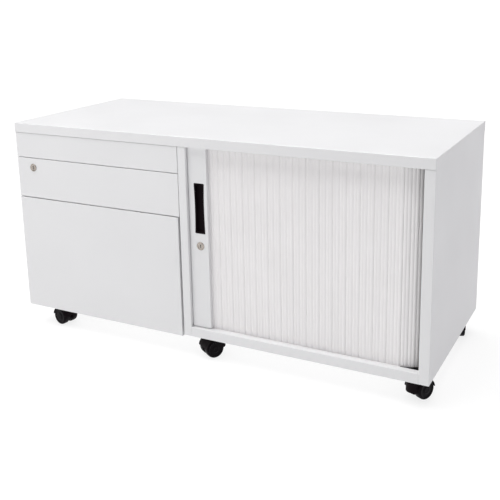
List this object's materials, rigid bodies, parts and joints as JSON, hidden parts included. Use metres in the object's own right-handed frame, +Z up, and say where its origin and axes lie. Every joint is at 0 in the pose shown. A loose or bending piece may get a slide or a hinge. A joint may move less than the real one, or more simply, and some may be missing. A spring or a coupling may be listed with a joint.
{
  "type": "mobile storage caddy",
  "caption": "Low steel office caddy on castors with pencil, box and file drawers and a side-opening tambour cupboard.",
  "frame": {"origin": "on the floor, at the centre of the footprint", "axes": "+X to the right along the front, +Y to the back, +Z up; the fronts face -Y"},
  "size_m": [1.2, 0.5, 0.6],
  "materials": {
    "powder_coat": "satin white powder coat",
    "slat_plastic": "matt white",
    "track_plastic": "matt black",
    "black_plastic": "fine texture, black",
    "castor_wheel": "semi-matt black nylon",
    "nickel": "nickel plate",
    "zinc_steel": "zinc plate"
  },
  "bodies": {
    "carcass": {"top_panel": "powder_coat", "left_side_panel": "powder_coat", "right_side_panel": "powder_coat", "back_panel": "powder_coat", "base_panel": "powder_coat", "centre_divider": "powder_coat", "bottom_front_rail": "powder_coat", "compartment_floor": "powder_coat", "compartment_lining": "powder_coat", "tambour_tracks": "slat_plastic", "tambour_corner_tracks": "track_plastic", "tambour_corner_slats": "slat_plastic", "adjustable_shelf": "powder_coat", "shelf_clips": "zinc_steel", "runner_posts": "zinc_steel", "drawer_runner_outers": "zinc_steel", "castor_plates": "zinc_steel", "assembly_screws": "zinc_steel"},
    "pencil_drawer": {"pencil_drawer_front": "powder_coat", "pencil_drawer_tray": "powder_coat", "pencil_runner_inners": "zinc_steel"},
    "box_drawer": {"box_drawer_front": "powder_coat", "box_drawer_tray": "powder_coat", "box_runner_inners": "zinc_steel", "drawer_lock_barrel": "nickel"},
    "file_drawer": {"file_drawer_front": "powder_coat", "file_drawer_tray": "powder_coat", "file_runner_inners": "zinc_steel", "file_hanging_rails": "zinc_steel"},
    "file_mids": {"file_runner_mids": "zinc_steel"},
    "drawer_lock": {"drawer_lock_plug": "nickel"},
    "lock_bar": {"drawer_lock_bar": "zinc_steel"},
    "tambour_door": {"tambour_lead_bar": "powder_coat", "tambour_handle": "black_plastic", "tambour_lock_barrel": "nickel"},
    "tambour_lock": {"tambour_lock_plug": "nickel"},
    "slat_01": {"tambour_slat_01": "slat_plastic"},
    "slat_02": {"tambour_slat_02": "slat_plastic"},
    "slat_03": {"tambour_slat_03": "slat_plastic"},
    "slat_04": {"tambour_slat_04": "slat_plastic"},
    "slat_05": {"tambour_slat_05": "slat_plastic"},
    "slat_06": {"tambour_slat_06": "slat_plastic"},
    "slat_07": {"tambour_slat_07": "slat_plastic"},
    "slat_08": {"tambour_slat_08": "slat_plastic"},
    "slat_09": {"tambour_slat_09": "slat_plastic"},
    "slat_10": {"tambour_slat_10": "slat_plastic"},
    "slat_11": {"tambour_slat_11": "slat_plastic"},
    "slat_12": {"tambour_slat_12": "slat_plastic"},
    "slat_13": {"tambour_slat_13": "slat_plastic"},
    "slat_14": {"tambour_slat_14": "slat_plastic"},
    "front_left_hood": {"castor_front_left_hood": "black_plastic"},
    "front_left_wheels": {"castor_front_left_wheels": "castor_wheel"},
    "front_centre_hood": {"castor_front_centre_hood": "black_plastic"},
    "front_centre_wheels": {"castor_front_centre_wheels": "castor_wheel"},
    "front_right_hood": {"castor_front_right_hood": "black_plastic"},
    "front_right_wheels": {"castor_front_right_wheels": "castor_wheel"},
    "rear_left_hood": {"castor_rear_left_hood": "black_plastic"},
    "rear_left_wheels": {"castor_rear_left_wheels": "castor_wheel"},
    "rear_right_hood": {"castor_rear_right_hood": "black_plastic"},
    "rear_right_wheels": {"castor_rear_right_wheels": "castor_wheel"}
  },
  "joints": [
    {"name": "pencil_drawer_slide", "type": "slide", "parent": "carcass", "child": "pencil_drawer", "axis": [0, -1, 0], "range_m": [0, 0.3]},
    {"name": "box_drawer_slide", "type": "slide", "parent": "carcass", "child": "box_drawer", "axis": [0, -1, 0], "range_m": [0, 0.3]},
    {"name": "file_drawer_slide", "type": "slide", "parent": "carcass", "child": "file_drawer", "axis": [0, -1, 0], "range_m": [0, 0.43]},
    {"name": "file_mids_slide", "type": "slide", "parent": "carcass", "child": "file_mids", "axis": [0, -1, 0], "range_m": [0, 0.216]},
    {"name": "drawer_lock_turn", "type": "hinge", "parent": "box_drawer", "child": "drawer_lock", "pos_m": [-0.5425, -0.236, 0.475], "axis": [0, 1, 0], "range_deg": [0, 90]},
    {"name": "lock_bar_lift", "type": "slide", "parent": "carcass", "child": "lock_bar", "axis": [0, 0, 1], "range_m": [0, 0.008]},
    {"name": "tambour_slide", "type": "slide", "parent": "carcass", "child": "tambour_door", "axis": [1, 0, 0], "range_m": [0, 0.507]},
    {"name": "tambour_lock_turn", "type": "hinge", "parent": "tambour_door", "child": "tambour_lock", "pos_m": [-0.0075, -0.236, 0.3145], "axis": [0, 1, 0], "range_deg": [0, 90]},
    {"name": "tambour_slat_01_slide", "type": "slide", "parent": "carcass", "child": "slat_01", "axis": [1, 0, 0], "range_m": [0, 0.4709], "deforming": ["tambour_slat_01"]},
    {"name": "tambour_slat_02_slide", "type": "slide", "parent": "carcass", "child": "slat_02", "axis": [1, 0, 0], "range_m": [0, 0.4373], "deforming": ["tambour_slat_02"]},
    {"name": "tambour_slat_03_slide", "type": "slide", "parent": "carcass", "child": "slat_03", "axis": [1, 0, 0], "range_m": [0, 0.4037], "deforming": ["tambour_slat_03"]},
    {"name": "tambour_slat_04_slide", "type": "slide", "parent": "carcass", "child": "slat_04", "axis": [1, 0, 0], "range_m": [0, 0.3701], "deforming": ["tambour_slat_04"]},
    {"name": "tambour_slat_05_slide", "type": "slide", "parent": "carcass", "child": "slat_05", "axis": [1, 0, 0], "range_m": [0, 0.3365], "deforming": ["tambour_slat_05"]},
    {"name": "tambour_slat_06_slide", "type": "slide", "parent": "carcass", "child": "slat_06", "axis": [1, 0, 0], "range_m": [0, 0.3029], "deforming": ["tambour_slat_06"]},
    {"name": "tambour_slat_07_slide", "type": "slide", "parent": "carcass", "child": "slat_07", "axis": [1, 0, 0], "range_m": [0, 0.2693], "deforming": ["tambour_slat_07"]},
    {"name": "tambour_slat_08_slide", "type": "slide", "parent": "carcass", "child": "slat_08", "axis": [1, 0, 0], "range_m": [0, 0.2357], "deforming": ["tambour_slat_08"]},
    {"name": "tambour_slat_09_slide", "type": "slide", "parent": "carcass", "child": "slat_09", "axis": [1, 0, 0], "range_m": [0, 0.2021], "deforming": ["tambour_slat_09"]},
    {"name": "tambour_slat_10_slide", "type": "slide", "parent": "carcass", "child": "slat_10", "axis": [1, 0, 0], "range_m": [0, 0.1685], "deforming": ["tambour_slat_10"]},
    {"name": "tambour_slat_11_slide", "type": "slide", "parent": "carcass", "child": "slat_11", "axis": [1, 0, 0], "range_m": [0, 0.1349], "deforming": ["tambour_slat_11"]},
    {"name": "tambour_slat_12_slide", "type": "slide", "parent": "carcass", "child": "slat_12", "axis": [1, 0, 0], "range_m": [0, 0.1013], "deforming": ["tambour_slat_12"]},
    {"name": "tambour_slat_13_slide", "type": "slide", "parent": "carcass", "child": "slat_13", "axis": [1, 0, 0], "range_m": [0, 0.0677], "deforming": ["tambour_slat_13"]},
    {"name": "tambour_slat_14_slide", "type": "slide", "parent": "carcass", "child": "slat_14", "axis": [1, 0, 0], "range_m": [0, 0.0341], "deforming": ["tambour_slat_14"]},
    {"name": "front_left_swivel", "type": "hinge", "parent": "carcass", "child": "front_left_hood", "pos_m": [-0.522, -0.202, 0.05], "axis": [0, 0, 1], "continuous": true},
    {"name": "front_left_roll", "type": "hinge", "parent": "front_left_hood", "child": "front_left_wheels", "pos_m": [-0.50244, -0.20616, 0.025], "axis": [0.2079, 0.9781, 0], "continuous": true},
    {"name": "front_centre_swivel", "type": "hinge", "parent": "carcass", "child": "front_centre_hood", "pos_m": [0.01, -0.194, 0.05], "axis": [0, 0, 1], "continuous": true},
    {"name": "front_centre_roll", "type": "hinge", "parent": "front_centre_hood", "child": "front_centre_wheels", "pos_m": [-0.00089, -0.21077, 0.025], "axis": [0.8387, -0.5446, 0], "continuous": true},
    {"name": "front_right_swivel", "type": "hinge", "parent": "carcass", "child": "front_right_hood", "pos_m": [0.552, -0.206, 0.05], "axis": [0, 0, 1], "continuous": true},
    {"name": "front_right_roll", "type": "hinge", "parent": "front_right_hood", "child": "front_right_wheels", "pos_m": [0.56139, -0.18834, 0.025], "axis": [-0.8829, 0.4695, 0], "continuous": true},
    {"name": "rear_left_swivel", "type": "hinge", "parent": "carcass", "child": "rear_left_hood", "pos_m": [-0.522, 0.202, 0.05], "axis": [0, 0, 1], "continuous": true},
    {"name": "rear_left_roll", "type": "hinge", "parent": "rear_left_hood", "child": "rear_left_wheels", "pos_m": [-0.53932, 0.212, 0.025], "axis": [-0.5, -0.866, 0], "continuous": true},
    {"name": "rear_right_swivel", "type": "hinge", "parent": "carcass", "child": "rear_right_hood", "pos_m": [0.552, 0.202, 0.05], "axis": [0, 0, 1], "continuous": true},
    {"name": "rear_right_roll", "type": "hinge", "parent": "rear_right_hood", "child": "rear_right_wheels", "pos_m": [0.55818, 0.18298, 0.025], "axis": [0.9511, 0.309, 0], "continuous": true}
  ],
  "couplings": [
    {"joint": "file_mids_slide", "follows": "file_drawer_slide", "ratio": 0.5},
    {"joint": "drawer_lock_turn", "follows": "lock_bar_lift", "rad_per_m": 196.35},
    {"joint": "tambour_slat_01_slide", "follows": "tambour_slide", "ratio": 0.92781},
    {"joint": "tambour_slat_02_slide", "follows": "tambour_slide", "ratio": 0.86154},
    {"joint": "tambour_slat_03_slide", "follows": "tambour_slide", "ratio": 0.79527},
    {"joint": "tambour_slat_04_slide", "follows": "tambour_slide", "ratio": 0.72899},
    {"joint": "tambour_slat_05_slide", "follows": "tambour_slide", "ratio": 0.66272},
    {"joint": "tambour_slat_06_slide", "follows": "tambour_slide", "ratio": 0.59645},
    {"joint": "tambour_slat_07_slide", "follows": "tambour_slide", "ratio": 0.53018},
    {"joint": "tambour_slat_08_slide", "follows": "tambour_slide", "ratio": 0.46391},
    {"joint": "tambour_slat_09_slide", "follows": "tambour_slide", "ratio": 0.39763},
    {"joint": "tambour_slat_10_slide", "follows": "tambour_slide", "ratio": 0.33136},
    {"joint": "tambour_slat_11_slide", "follows": "tambour_slide", "ratio": 0.26509},
    {"joint": "tambour_slat_12_slide", "follows": "tambour_slide", "ratio": 0.19882},
    {"joint": "tambour_slat_13_slide", "follows": "tambour_slide", "ratio": 0.13254},
    {"joint": "tambour_slat_14_slide", "follows": "tambour_slide", "ratio": 0.066272}
  ]
}
